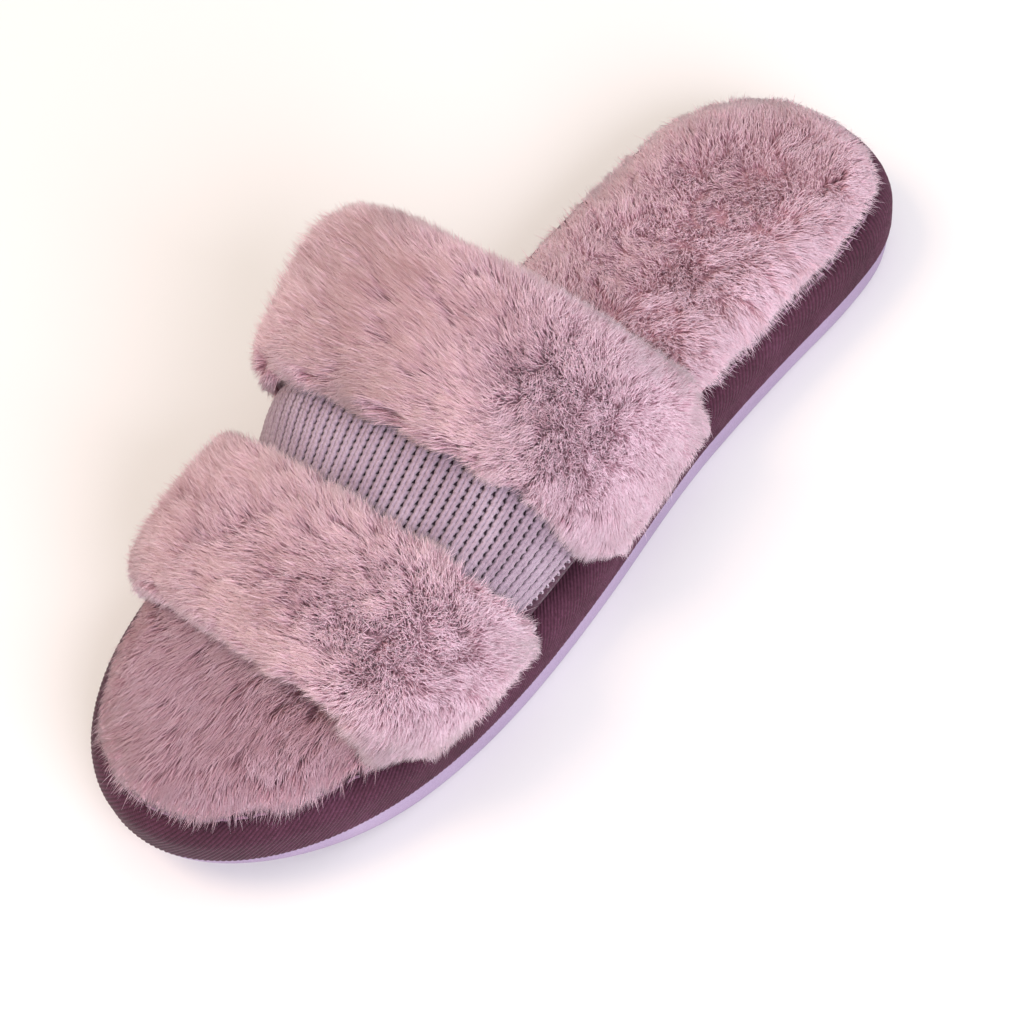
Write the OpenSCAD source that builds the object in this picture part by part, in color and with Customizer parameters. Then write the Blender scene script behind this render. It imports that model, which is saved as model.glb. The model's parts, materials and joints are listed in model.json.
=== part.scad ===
// Open-toe, open-heel house slipper for the left foot: a layered sole, split at a flex line,
// with two padded bands over the foot and a knit panel between them.
// X+ is the outer (little toe) side, Y- is the toe, Z+ is up.
// The origin lies on the ground under the middle of the sole.

/* [Sole outline] */
// Length of the sole from toe to heel
sole_len = 250; // [240:1:262]
// Width of the sole across the ball
ball_w = 84; // [81:0.5:88]
// Width of the sole at the waist
waist_w = 67; // [65:0.5:71]
// Width of the sole at the heel
heel_w = 67.5; // [65:0.5:71]
// How far the heel sits toward the inner side
heel_shift = 3.4; // [2:0.5:6]

/* [Sole layers] */
// Thickness of the rubbery foam outsole
outsole_t = 7.6; // [6.5:0.1:8.5]
// Depth of the tread grooves
tread_d = 1.6; // [0.8:0.1:2.4]
// Height of the top edge of the wrapped platform above the ground
platform_top = 19.5; // [18.5:0.1:20.5]
// Thickness of the platform wrap cloth
wrap_t = 1.2; // [0.9:0.1:1.5]
// Radius of the rounded shoulder of the platform
shoulder_r = 5.2; // [4:0.1:6]
// Rise of the toe end above the ground
toe_spring = 4.5; // [2:0.5:6]

/* [Footbed] */
// Thickness of the stiff insole board
board_t = 1.3; // [1:0.1:1.6]
// Thickness of the footbed foam
foam_t = 2.9; // [2.2:0.1:3.4]
// Height of the pile sheet above the foam
fur_t = 5.5; // [4:0.5:6.5]

/* [Bands] */
// Inside height of the rear band at its rear edge, above the sole edge
instep_h = 50; // [46:1:53]
// Inside height of the front band at its front edge, above the sole edge
front_h = 17; // [15:1:20]
// Forward lean of the bands for each unit of height
lean = 0.28; // [0.2:0.01:0.32]
// Lean of the arch toward the inner side for each unit of height
side_lean = 0.25; // [0.15:0.01:0.3]
// Thickness of the band lining cloth
lining_t = 1.0; // [0.8:0.1:1.2]
// Thickness of the band padding
padding_t = 2.5; // [2:0.1:3]
// Thickness of the band pile as a solid
pile_t = 9.5; // [7:0.5:11]

/* [Knit panel] */
// Thickness of the knitted cloth
knit_t = 2.4; // [1.8:0.1:2.8]
// Thickness of the elastic backing under the knit
backing_t = 0.8; // [0.6:0.1:1]
// Width of the knit that is tucked under each band
tuck = 5; // [3:0.5:6]

/* [Flex line] */
// Distance of the flex line ahead of the middle of the sole
flex_y = 31.5; // [30:0.5:33]
// Angle of the flex line to the straight cross direction
flex_skew = 9.5; // [8:0.5:11]

/* [Hidden] */
NODES = ["outsole_rear", "outsole_fore", "midsole_rear", "midsole_fore",
  "platform_wrap_rear", "platform_wrap_fore", "insole_board_rear", "insole_board_fore",
  "footbed_foam_rear", "footbed_foam_fore", "footbed_fur_rear", "footbed_fur_fore",
  "edge_stitches_rear", "edge_stitches_fore",
  "rear_band_fur", "rear_band_padding", "rear_band_lining",
  "rear_band_tab_outer", "rear_band_tab_inner", "rear_band_stitches",
  "front_band_fur", "front_band_padding", "front_band_lining",
  "front_band_tab_outer", "front_band_tab_inner", "front_band_stitches",
  "knit_panel", "knit_backing", "knit_edge_overlock"];
node = "all";

// parts of the sole, and sides of the foot
fore = 0;
rear = 1;
outer = 1;
inner = -1;

// places along the sole, as shares of its length from the toe
ball_at = 0.29;
waist_at = 0.64;
heel_at = 0.80;
toe_rise_share = 0.3;   // the sole rises ahead of this share

half_len = sole_len / 2;
half_ball = ball_w / 2;
half_waist = waist_w / 2;
half_heel = heel_w / 2;
toe_round = 2.2;        // exponents of the rounded ends of the outline
heel_round = 3.2;
toe_shift = 1.2;        // shift of the forefoot toward the outer side
cut_y = -flex_y;
cut_gap = 0.1;          // half the gap at the flex line
layer_gap = 0.1;

// points along each layer's path, as [fore, rear]
layer_points = [33, 49];
outsole_points = [41, 61];
seam_points = [75, 121];

// heights of the sole layers
wrap_z = outsole_t + layer_gap;
wrap_floor = wrap_z + wrap_t;
board_z = platform_top - wrap_t;
foam_z = board_z + board_t + layer_gap;
fur_z = foam_z + foam_t + layer_gap;

plum = "#603e54";
pile_color = "#cba6b6";
cloth_color = "#d8c3cf";

// ---- helpers ----
// smooth step from 0 at a to 1 at b
function smooth(a, b, x) = let (u = max(0, min(1, (x - a) / (b - a)))) u * u * (3 - 2 * u);
function signed_pow(v, e) = sign(v) * pow(abs(v), e);
function steps(a, b, n) = [for (k = [0 : n]) a + (b - a) * k / n];
function flat(lists) = [for (a = lists) for (b = a) b];
function reversed(list) = [for (k = [len(list) - 1 : -1 : 0]) list[k]];
function quad(a, b, c, d) = [[a, b, c], [a, c, d]];

// solid through a stack of closed rings; each cap is laced across from side to side
module loft(rings) {
  count = len(rings);
  size = len(rings[0]);
  last = (count - 1) * size;
  lace = [0 : ceil(size / 2) - 2];
  sides = flat([for (k = [0 : count - 2]) for (j = [0 : size - 1])
    let (a = k * size, b = a + size, next = (j + 1) % size)
    quad(a + j, b + j, b + next, a + next)]);
  bottom = flat([for (j = lace) let (p = size - 1 - j)
    j + 1 == p - 1 ? [[j, j + 1, p]] : quad(j, j + 1, p - 1, p)]);
  top = flat([for (j = lace) let (a = last + j, p = last + size - 1 - j)
    a + 1 == p - 1 ? [[p, a + 1, a]] : quad(p, p - 1, a + 1, a)]);
  polyhedron(points = flat(rings), faces = concat(sides, bottom, top), convexity = 8);
}

// strip swept along a path: one point path for each corner of the section
module sweep(paths) {
  n = len(paths);
  m = len(paths[0]);
  sides = flat([for (k = [0 : n - 1]) for (j = [0 : m - 2])
    let (a = k * m + j, b = (k + 1) % n * m + j)
    quad(a, b, b + 1, a + 1)]);
  start = [for (k = [n - 1 : -1 : 0]) k * m];
  end = [for (k = [0 : n - 1]) k * m + m - 1];
  polyhedron(points = flat(paths), faces = concat(sides, [start], [end]), convexity = 6);
}

module rod(from, to, radius) {
  d = to - from;
  length = norm(d);
  translate(from)
    rotate([0, acos(d[2] / length), atan2(d[1], d[0])])
      cylinder(h = length, r = radius, $fn = 16);
}

// ---- sole outline ----
function half_width(y) =
  let (t = (max(-half_len, min(half_len, y)) + half_len) / sole_len)
  t <= ball_at ? half_ball * pow(max(0, 1 - pow((ball_at - t) / ball_at, toe_round)), 0.5)
  : t >= heel_at
    ? half_heel * pow(max(0, 1 - pow((t - heel_at) / (1 - heel_at), heel_round)), 0.5)
  : t < waist_at ? half_ball + (half_waist - half_ball) * smooth(ball_at, waist_at, t)
  : half_waist + (half_heel - half_waist) * smooth(waist_at, heel_at, t);

// x of the middle line: outward at the forefoot, inward at the heel, part way back at its end
function middle_x(y) = let (t = (y + half_len) / sole_len)
  toe_shift * (1 - smooth(0.4, 0.8, t))
  - heel_shift * smooth(0.45, 0.8, t) * (1 - 0.75 * smooth(0.86, 1, t));

// rise of the sole at y
function rise(y) = let (rise_len = toe_rise_share * sole_len)
  toe_spring * pow(max(0, (rise_len - (y + half_len)) / rise_len), 2);

// stations run parallel to the flex line near it and straight across elsewhere
function slant(station) = tan(flex_skew) * (1 - smooth(20, 75, abs(station - cut_y)));

function edge_x(y, side, inset) = let (len_scale = (half_len - inset) / half_len)
  middle_x(y) + side * half_width(y / len_scale) * (1 - inset / half_ball);

// point of the inset outline on a slanted station, closed in on by repeated steps
function edge_point(station, side, inset) = let (
    m = slant(station),
    x0 = edge_x(station, side, inset),
    x1 = edge_x(station + m * x0, side, inset),
    x2 = edge_x(station + m * x1, side, inset))
  [x2, station + m * x2];

// open path round the heel or round the toe, from cut to cut
function end_path(part, inset, count) = let (
    reach = half_len - inset,
    cut_angle = acos(-(cut_y + (part == rear ? cut_gap : -cut_gap)) / reach),
    start = part == rear ? cut_angle : -cut_angle,
    turn = part == rear ? 360 - 2 * cut_angle : 2 * cut_angle)
  [for (j = [0 : count - 1]) let (
      a = start + turn * j / (count - 1),
      side = (part == rear ? a < 180 : a > 0) ? outer : inner)
    edge_point(-reach * cos(a), side, inset)];

// path along one side between two stations, in the same turning sense
function side_path(side, ya, yb, inset, count) = let (
    from = side == outer ? ya : yb,
    to = side == outer ? yb : ya)
  [for (station = steps(from, to, count - 1)) edge_point(station, side, inset)];

function lift(path, z) = [for (p = path) [p[0], p[1], z + rise(p[1])]];

// one path for each [inset, z] of a profile
function layer_paths(part, profile) =
  [for (q = profile) lift(end_path(part, q[0], layer_points[part]), q[1])];

// quarter round of the platform shoulder as [inset, z], at this radius from its centre
function shoulder(radius) = [for (a = [0 : 15 : 90])
  [shoulder_r - radius * cos(a), platform_top - shoulder_r + radius * sin(a)]];

// ---- outsole ----
toe_thinning = 4.6;     // thickness taken off below at the toe tip
function thinning(y) = toe_thinning * pow(smooth(-72, -122, y), 1.2);

// side profile: flat under the foot, rising at the toe
module outsole_profile() {
  over = 1;             // reach beyond the sole at each end
  width = 160;
  ys = [for (k = [0 : 14]) -half_len - over + (toe_rise_share * sole_len + over) * k / 14];
  rotate([90, 0, 90])
    translate([0, 0, -width / 2])
      linear_extrude(width)
        polygon(concat(
          [for (y = ys) [y, rise(y) + thinning(y)]],
          [[half_len + over, 0], [half_len + over, outsole_t]],
          [for (y = reversed(ys)) [y, rise(y) + outsole_t]]));
}

// cross grooves that follow the rise of the sole, and two long channels
module tread() {
  below = 5;            // reach of the cutters below the sole
  groove = [120, 2.2, below + tread_d];
  channel = [1.8, 205, below + tread_d];
  for (y = [-95 : 10 : 105])
    translate([0, y, rise(y)])
      rotate([0, 0, 7])
        translate([-groove[0] / 2, -groove[1] / 2, -below])
          cube(groove);
  for (x = [-13, 11])
    translate([x, -96, -below])
      cube(channel);
}

module outsole(part) {
  color("#b9a6c6")
    difference() {
      intersection() {
        linear_extrude(30)
          polygon(end_path(part, 1.2, outsole_points[part]));
        outsole_profile();
      }
      tread();
    }
}

// ---- upper sole layers: profiles are [inset, z] ----
module platform_wrap(part) {
  section = concat(
    [[9, wrap_z], [0.6, wrap_z], [0, wrap_z + 0.9]],
    shoulder(shoulder_r),
    [[8.5, platform_top], [8.5, platform_top - wrap_t]],
    reversed(shoulder(shoulder_r - wrap_t)),
    [[wrap_t, wrap_floor], [9, wrap_floor]]);
  color(plum) sweep(layer_paths(part, section));
}

// core that fills the wrap and drops into the opening in its floor
module midsole(part) {
  core_in = 9.3;
  side_in = wrap_t + 0.15;
  core_z = wrap_floor + layer_gap;
  color("#e9e4e6") loft(layer_paths(part, concat(
    [[core_in, wrap_z + 0.02], [core_in, core_z], [side_in, core_z]],
    shoulder(shoulder_r - side_in))));
}

module insole_board(part) {
  inset = 8.8;
  color("#c9b79a") loft(layer_paths(part, [[inset, board_z], [inset, board_z + board_t]]));
}

module footbed_foam(part) {
  inset = 9;
  top = foam_z + foam_t;
  color("#f2efe6") loft(layer_paths(part, [[inset, foam_z], [inset, top - 0.6], [9.8, top]]));
}

// pile sheet whose rim reaches out over the platform edge
module footbed_fur(part) {
  rim_z = platform_top + 1.15;
  color(pile_color) loft(layer_paths(part, [
    [8.6, fur_z], [8.6, rim_z], [6, rim_z], [5.4, platform_top + 2.6],
    [6.3, fur_z + fur_t * 0.42], [8.8, fur_z + fur_t * 0.72],
    [12.5, fur_z + fur_t * 0.91], [19, fur_z + fur_t]]));
}

// running stitches round the platform's top edge, left out beside the bands
module edge_stitches(part) {
  count = seam_points[part];
  p = lift(end_path(part, 4.6, count), platform_top + 0.55);
  color("#7a5570")
    for (j = [1 : 2 : count - 3])
      if (p[j][1] <= -80 || p[j][1] >= 38)
        rod(p[j], p[j] + (p[j + 1] - p[j]) * 0.82, 0.4);
}

// ---- arch over the foot ----
// q is the distance ahead of the middle of the sole; a band is [rear edge, front edge] in q
rear_band = [-22, 17];
front_band = [42, 76];
arch_z = platform_top + 1.1;

// 1 behind the gap between the bands, 0 ahead of it
function rearness(q) = 1 - smooth(rear_band[1], front_band[0], q);
function inside_height(q) = let (end = front_band[1] + 8)
  front_h
  + (instep_h - front_h) * pow(max(0.001, (end - q) / (end - rear_band[0])), 0.9) - 1.5;
// how far the outer end sits back and the inner end forward
function end_shift(q) = 5 + 5 * rearness(q);
// both leans are greater at the rear edge
function forward_lean(q) = lean + 0.08 * (1 - smooth(rear_band[0], rear_band[1], q));
function inward_lean(q) = side_lean * (0.3 + 1.1 * (1 - smooth(rear_band[0], 60, q)));
outer_bulge = 2;
function inner_bulge(q) = 0.5 + 5.5 * rearness(q);
squareness = 0.84;      // exponent of the arch curve; 1 gives an ellipse

// point on the arch: a is the angle over the foot from the outer end, d the offset outward,
// drop lowers the ends
function arch_point(q, a, d, drop = 0) = let (
    shift = end_shift(q),
    y_outer = -q + shift,
    y_inner = -q - shift,
    inset = 5 - 2 * rearness(q),
    x_outer = middle_x(y_outer) + half_width(y_outer) - inset,
    x_inner = middle_x(y_inner) - half_width(y_inner) + inset,
    height = (inside_height(q) + d) * signed_pow(max(0, sin(a)), squareness),
    c = cos(a),
    reach = (x_outer - x_inner) / 2 + d + (c > 0 ? outer_bulge : inner_bulge(q)) * sin(a))
  [(x_outer + x_inner) / 2 + signed_pow(c, squareness) * reach - inward_lean(q) * height,
   -q + shift * c - forward_lean(q) * height,
   arch_z + height + rise(-q) - drop * pow(abs(c), 14)];

// offsets of the band layers from the inside face
padding_d = lining_t + 0.25;
fur_d = padding_d + padding_t + 0.25;

// layers over the lining thin out toward the ends of a band, to the share end_share
function thinned(d, a, end_share) = d <= padding_d ? d
  : padding_d
    + (d - padding_d) * (end_share + (1 - end_share) * pow(max(0, sin(a)), 0.7));

// closed shell over the foot: stations are [q, d inside, d outside] from rear to front,
// trim is the angle left off at the [outer, inner] end
module arch(stations, drop = 0, end_share = 1, trim = [0, 0], count = 27) {
  angles = steps(trim[0], 180 - trim[1], count - 1);
  loft([for (s = stations) concat(
    [for (a = angles) arch_point(s[0], a, thinned(s[2], a, end_share), drop)],
    [for (a = reversed(angles)) arch_point(s[0], a, thinned(s[1], a, end_share))])]);
}

// ---- bands ----
band_end_share = 0.4;

module band_lining(band) {
  color(cloth_color) arch([for (q = steps(band[0], band[1], 8)) [q, 0, lining_t]]);
}

module band_padding(band) {
  margin = 0.5;
  color("#efe9dc") arch(
    [for (q = steps(band[0] + margin, band[1] - margin, 8))
      [q, padding_d, padding_d + padding_t]],
    end_share = band_end_share);
}

// pile, rounded from edge to edge and wider than the band
module band_fur(band) {
  overhang = 4;
  edge_t = 2;
  middle = (band[0] + band[1]) / 2;
  half = (band[1] - band[0]) / 2 + overhang;
  color(pile_color) arch(
    [for (u = steps(-1, 1, 8)) [middle + u * half, fur_d,
      fur_d + edge_t + (pile_t - edge_t) * pow(1 - pow(abs(u), 3), 0.5)]],
    drop = 1.5, end_share = band_end_share);
}

// flat strip on the platform top between stations ya and yb
module band_tab(side, ya, yb) {
  section = [[8, 0.12], [3, 0.12], [3, 0.95], [8, 0.95]];   // [inset, z above platform]
  color(cloth_color)
    sweep([for (q = section) lift(side_path(side, ya, yb, q[0], 9), platform_top + q[1])]);
}

stitch_margin = 0.8;    // from the band's edge to its row of stitches
module band_stitches(q) {
  d = 0.9;
  color("#b48fa3")
    for (a = [16 : 7 : 158])
      rod(arch_point(q, a, d), arch_point(q, a + 4.5, d), 0.35);
}

// ---- knit panel ----
knit_rear = rear_band[1] - tuck;
knit_front = front_band[0] + tuck;
knit_stations = steps(knit_rear, knit_front, 6);
// offset of the outer face: highest midway between the bands
function knit_d(q) = -1.6
  + 1.8 * (1 - pow((2 * q - knit_rear - knit_front) / (knit_front - knit_rear), 2));

module knit_panel() {
  color("#bfa9be") arch(
    [for (q = knit_stations) [q, knit_d(q) - knit_t, knit_d(q)]],
    trim = [20.5, 24]);
}

module knit_backing() {
  color("#8f7389") arch(
    [for (q = knit_stations) let (top = knit_d(q) - knit_t - layer_gap)
      [q, top - backing_t, top]],
    trim = [23.5, 27], count = 25);
}

// short stitches along the outer and inner ends of the knit
module knit_edge_overlock() {
  stitch_len = 1.9;
  depth = 1.2;
  color("#e6d9e2")
    for (a = [18.9, 157.6])
      for (q = steps(knit_rear + 2, knit_front - 3, 11))
        rod(arch_point(q, a, knit_d(q) - depth),
          arch_point(q + stitch_len, a, knit_d(q + stitch_len) - depth), 0.5);
}

function shown(name) = node == "all" || node == name;

if (shown("outsole_rear")) outsole(rear);
if (shown("outsole_fore")) outsole(fore);
if (shown("midsole_rear")) midsole(rear);
if (shown("midsole_fore")) midsole(fore);
if (shown("platform_wrap_rear")) platform_wrap(rear);
if (shown("platform_wrap_fore")) platform_wrap(fore);
if (shown("insole_board_rear")) insole_board(rear);
if (shown("insole_board_fore")) insole_board(fore);
if (shown("footbed_foam_rear")) footbed_foam(rear);
if (shown("footbed_foam_fore")) footbed_foam(fore);
if (shown("footbed_fur_rear")) footbed_fur(rear);
if (shown("footbed_fur_fore")) footbed_fur(fore);
if (shown("edge_stitches_rear")) edge_stitches(rear);
if (shown("edge_stitches_fore")) edge_stitches(fore);
if (shown("rear_band_fur")) band_fur(rear_band);
if (shown("rear_band_padding")) band_padding(rear_band);
if (shown("rear_band_lining")) band_lining(rear_band);
if (shown("rear_band_tab_outer")) band_tab(outer, -6, 32);
if (shown("rear_band_tab_inner")) band_tab(inner, -24, 12);
if (shown("rear_band_stitches")) band_stitches(rear_band[1] + stitch_margin);
if (shown("front_band_fur")) band_fur(front_band);
if (shown("front_band_padding")) band_padding(front_band);
if (shown("front_band_lining")) band_lining(front_band);
if (shown("front_band_tab_outer")) band_tab(outer, -70, -40);
if (shown("front_band_tab_inner")) band_tab(inner, -66, -46);
if (shown("front_band_stitches")) band_stitches(front_band[0] - stitch_margin);
if (shown("knit_panel")) knit_panel();
if (shown("knit_backing")) knit_backing();
if (shown("knit_edge_overlock")) knit_edge_overlock();
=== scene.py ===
# A fur slipper sandal: platform sole, furry footbed, two fur bands over the foot and a knit
# panel between them. It lies along y with the toe toward -y and the heel toward +y, the
# outer side toward +x and the floor at z = 0. Sizes are in millimetres until make() turns
# them into metres. Over the foot, "fore" is the distance toward the toe (-y), "angle" runs
# from 0 at the outer foot of the arch to 180 at the inner, "out" is the height off it.
import json
import math

import bpy
import numpy as np
from mathutils import Matrix, Vector


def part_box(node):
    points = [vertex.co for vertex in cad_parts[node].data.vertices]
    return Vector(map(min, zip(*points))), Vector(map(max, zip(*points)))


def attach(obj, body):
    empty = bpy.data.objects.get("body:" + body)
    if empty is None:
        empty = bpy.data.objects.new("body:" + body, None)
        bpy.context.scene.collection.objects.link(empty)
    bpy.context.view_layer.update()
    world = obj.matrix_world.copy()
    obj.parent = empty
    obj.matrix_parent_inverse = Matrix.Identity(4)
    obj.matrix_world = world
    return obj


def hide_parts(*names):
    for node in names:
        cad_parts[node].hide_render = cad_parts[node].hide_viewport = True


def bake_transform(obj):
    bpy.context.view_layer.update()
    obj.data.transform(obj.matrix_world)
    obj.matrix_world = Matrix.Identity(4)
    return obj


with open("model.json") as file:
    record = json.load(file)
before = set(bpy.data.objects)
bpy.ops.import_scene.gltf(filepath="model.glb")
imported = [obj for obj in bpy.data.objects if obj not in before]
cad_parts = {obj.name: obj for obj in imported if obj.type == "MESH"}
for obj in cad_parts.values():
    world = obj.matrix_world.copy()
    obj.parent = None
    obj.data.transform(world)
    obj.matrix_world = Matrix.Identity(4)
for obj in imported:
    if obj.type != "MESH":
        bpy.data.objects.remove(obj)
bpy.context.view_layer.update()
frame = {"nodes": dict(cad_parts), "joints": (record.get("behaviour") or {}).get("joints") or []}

DEG = math.pi / 180
DENSITY = 1.0       # share of the hairs that are built

# ---------------------------------------------------------------- driving sizes
wrap_y = [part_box(name)[end][1] * 1000
          for name in ("platform_wrap_rear", "platform_wrap_fore") for end in (0, 1)]
HALF_LENGTH = (max(wrap_y) - min(wrap_y)) / 2
WRAP_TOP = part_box("platform_wrap_rear")[1][2] * 1000
OUTSOLE_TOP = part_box("outsole_rear")[1][2] * 1000
hinge = [joint for joint in frame["joints"] if joint["name"] == "toe_flex"][0]
HINGE_POINT = np.array(hinge["pos_m"]) * 1000
HINGE_AXIS = np.array(hinge["axis"])

# half widths of the sole, and where they lie as shares of its length from the toe
BALL_HALF, WAIST_HALF, HEEL_HALF = 42.0, 33.5, 33.75
BALL_AT, WAIST_AT, HEEL_AT = 0.29, 0.64, 0.80
TOE_SPRING = 4.5                            # lift of the toe tip
SPRING_RUN = 0.6 * HALF_LENGTH
FLEX_SLOPE = math.tan(9.5 * DEG)            # slant of the stations near the hinge
FLEX_ZONE, KNIT_ZONE = 15.0, 14             # half lengths of the bending zones
KNIT_TILT = 0.28

FRONT_RISE, INSTEP_RISE = 17.0, 50.0        # arch heights at the toe and heel ends
LEAN, SIDE_LEAN = 0.28, 0.25
ARCH_FOOT = WRAP_TOP + 1.1
REAR_0, REAR_1, FRONT_0, FRONT_1 = -22.0, 17.0, 42.0, 76.0    # band edges, fore
ARCH_END = FRONT_1 + 8
TUCK = 5.0                                  # knit hidden under each band
BAND_DROP = 1.5                             # how far the fur sinks at the feet of the arch

CORNER = 5.2                                # radius of the platform's top edge
WRAP_GAUGE = 1.2


def ease(low, high, x):
    """Smooth step from 0 at low to 1 at high."""
    share = np.clip((np.asarray(x, float) - low) / (high - low), 0, 1)
    return share * share * (3 - 2 * share)


def unit(vectors, guard=0.0):
    return vectors / (np.linalg.norm(vectors, axis=-1, keepdims=True) + guard)


def run_lengths(points):
    """Length along a path at each of its points."""
    steps = np.linalg.norm(np.diff(points, axis=0), axis=1)
    return np.concatenate([[0], np.cumsum(steps)])


# ---------------------------------------------------------------- shape of the sole
def half_width(y):
    share = (np.clip(y, -HALF_LENGTH, HALF_LENGTH) + HALF_LENGTH) / (2 * HALF_LENGTH)
    toe_share = np.clip((BALL_AT - share) / BALL_AT, 0, 1)
    heel_share = np.clip((share - HEEL_AT) / (1 - HEEL_AT), 0, 1)
    toe = BALL_HALF * np.sqrt(np.maximum(0, 1 - toe_share ** 2.2))
    heel = HEEL_HALF * np.sqrt(np.maximum(0, 1 - heel_share ** 3.2))
    fore = BALL_HALF + (WAIST_HALF - BALL_HALF) * ease(BALL_AT, WAIST_AT, share)
    aft = WAIST_HALF + (HEEL_HALF - WAIST_HALF) * ease(WAIST_AT, HEEL_AT, share)
    middle = np.where(share < WAIST_AT, fore, aft)
    return np.where(share <= BALL_AT, toe, np.where(share >= HEEL_AT, heel, middle))


def centre_x(y):
    share = (np.asarray(y, float) + HALF_LENGTH) / (2 * HALF_LENGTH)
    return (1.2 * (1 - ease(0.4, 0.8, share))
            - 3.4 * ease(0.45, 0.8, share) * (1 - 0.75 * ease(0.86, 1, share)))


def toe_lift(y):
    from_toe = np.asarray(y, float) + HALF_LENGTH
    return TOE_SPRING * np.maximum(0, (SPRING_RUN - from_toe) / SPRING_RUN) ** 2


def outline_point(station, side, inset):
    """x and y of the outline, moved in by inset, on side +1 or -1."""
    station = np.asarray(station, float)
    shrink, narrow = (HALF_LENGTH - inset) / HALF_LENGTH, 1 - inset / BALL_HALF
    slope = FLEX_SLOPE * (1 - ease(20, 75, np.abs(station - float(HINGE_POINT[1]))))
    y = station
    for _ in range(3):                      # settles the slanted station on the outline
        x = centre_x(y) + side * half_width(y / shrink) * narrow
        y = station + slope * x
    return x, y


def ring(angle, inset, z):
    """Path round the sole; angle 0 is the toe tip, 90 the outer side, 180 the heel."""
    angle = np.asarray(angle, float) % 360
    side = np.where(angle < 180, 1.0, -1.0)
    x, y = outline_point(-(HALF_LENGTH - inset) * np.cos(angle * DEG), side, inset)
    return np.stack([x, y, z + toe_lift(y)], -1)


OUTLINE_ANGLES = np.linspace(0, 360, 7201)
OUTLINE_RUNS = run_lengths(ring(OUTLINE_ANGLES, 0.0, 0.0)[:, :2])
PERIMETER = OUTLINE_RUNS[-1]


def run_to_angle(run):
    return np.interp(run % PERIMETER, OUTLINE_RUNS, OUTLINE_ANGLES)


# ---------------------------------------------------------------- shape over the foot
def arch(fore, angle, out, drop=0.0):
    """Point over the foot."""
    fore, angle, out = np.broadcast_arrays(*(np.asarray(v, float) for v in (fore, angle, out)))
    rise = np.maximum(0, np.sin(angle * DEG))
    side = np.cos(angle * DEG)
    to_toe = ease(17, 42, fore)             # 0 on the rear band, 1 on the front band
    skew = 5 + 5 * (1 - to_toe)
    inset = 3 + 2 * to_toe
    y_outer, y_inner = -fore + skew, -fore - skew
    x_outer = centre_x(y_outer) + half_width(y_outer) - inset
    x_inner = centre_x(y_inner) - half_width(y_inner) + inset
    left = np.maximum(0.001, (ARCH_END - fore) / (ARCH_END - REAR_0))
    height = FRONT_RISE + (INSTEP_RISE - FRONT_RISE) * left ** 0.9 - 1.5
    up = (height + out) * rise ** 0.84
    bulge = np.where(side > 0, 2.0, 0.5 + 5.5 * (1 - to_toe))
    reach = (x_outer - x_inner) / 2 + out + bulge * rise
    lean = LEAN + 0.08 * (1 - ease(-22, 17, fore))
    side_lean = SIDE_LEAN * (0.3 + 1.1 * (1 - ease(-22, 60, fore)))
    x = (x_outer + x_inner) / 2 + np.sign(side) * np.abs(side) ** 0.84 * reach - side_lean * up
    y = -fore + skew * side - lean * up
    z = ARCH_FOOT + up + toe_lift(-fore) - drop * np.abs(side) ** 14
    return np.stack([x, y, z], -1)


def thinned(out, angle):
    """Layers over the lining get thinner toward the ends of a band."""
    lining, least = 1.25, 0.4
    share = least + (1 - least) * np.maximum(0, np.sin(angle * DEG)) ** 0.7
    return np.where(out <= lining, out, lining + (out - lining) * share)


# ---------------------------------------------------------------- mesh makers
# A finish is a pair: the material and the name of its slot.
def make(name, points, faces, finish, uv=None):
    """Smooth mesh object from points in mm and a list of face arrays."""
    points = np.asarray(points, np.float32).reshape(-1, 3) * 0.001
    faces = [np.asarray(block, np.int32) for block in faces]
    corners = np.concatenate([block.ravel() for block in faces])
    sizes = np.concatenate([np.full(len(block), block.shape[1], np.int32) for block in faces])
    mesh = bpy.data.meshes.new(name)
    mesh.vertices.add(len(points))
    mesh.vertices.foreach_set("co", points.ravel())
    mesh.loops.add(len(corners))
    mesh.loops.foreach_set("vertex_index", corners)
    mesh.polygons.add(len(sizes))
    starts = np.concatenate([[0], np.cumsum(sizes)[:-1]]).astype(np.int32)
    mesh.polygons.foreach_set("loop_start", starts)
    mesh.polygons.foreach_set("use_smooth", np.full(len(sizes), True))
    mesh.update(calc_edges=True)
    if uv is not None:
        layer = mesh.uv_layers.new(name="OFBake")
        layer.data.foreach_set("uv", np.asarray(uv, np.float32)[corners].ravel())
    material, slot = finish
    mesh.materials.append(material)
    piece = bpy.data.objects.new(name, mesh)
    bpy.context.scene.collection.objects.link(piece)
    return piece


def set_point_values(piece, name, values):
    attribute = piece.data.attributes.new(name, "FLOAT", "POINT")
    attribute.data.foreach_set("value", values.astype(np.float32))


def grid_faces(rows, cols, close_rows=False, close_cols=False):
    row, col = np.meshgrid(np.arange(rows if close_rows else rows - 1),
                           np.arange(cols if close_cols else cols - 1), indexing="ij")
    row_2, col_2 = (row + 1) % rows, (col + 1) % cols
    return np.stack([row * cols + col, row * cols + col_2,
                     row_2 * cols + col_2, row_2 * cols + col], -1).reshape(-1, 4)


def path_tangents(paths):
    return unit(np.gradient(paths, axis=1), 1e-9)


def path_rings(paths, tangents, reference, radius, sides):
    """Rings of points round the paths, on as many path points as radius covers."""
    first = unit(np.cross(tangents, np.broadcast_to(reference, tangents.shape)), 1e-9)
    second = np.cross(tangents, first)
    count = radius.shape[1]
    turn = (np.arange(sides) * 2 * math.pi / sides)[None, None, :, None]
    return paths[:, :count, None] + radius[:, :, None, None] * (
        np.cos(turn) * first[:, :count, None] + np.sin(turn) * second[:, :count, None])


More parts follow.
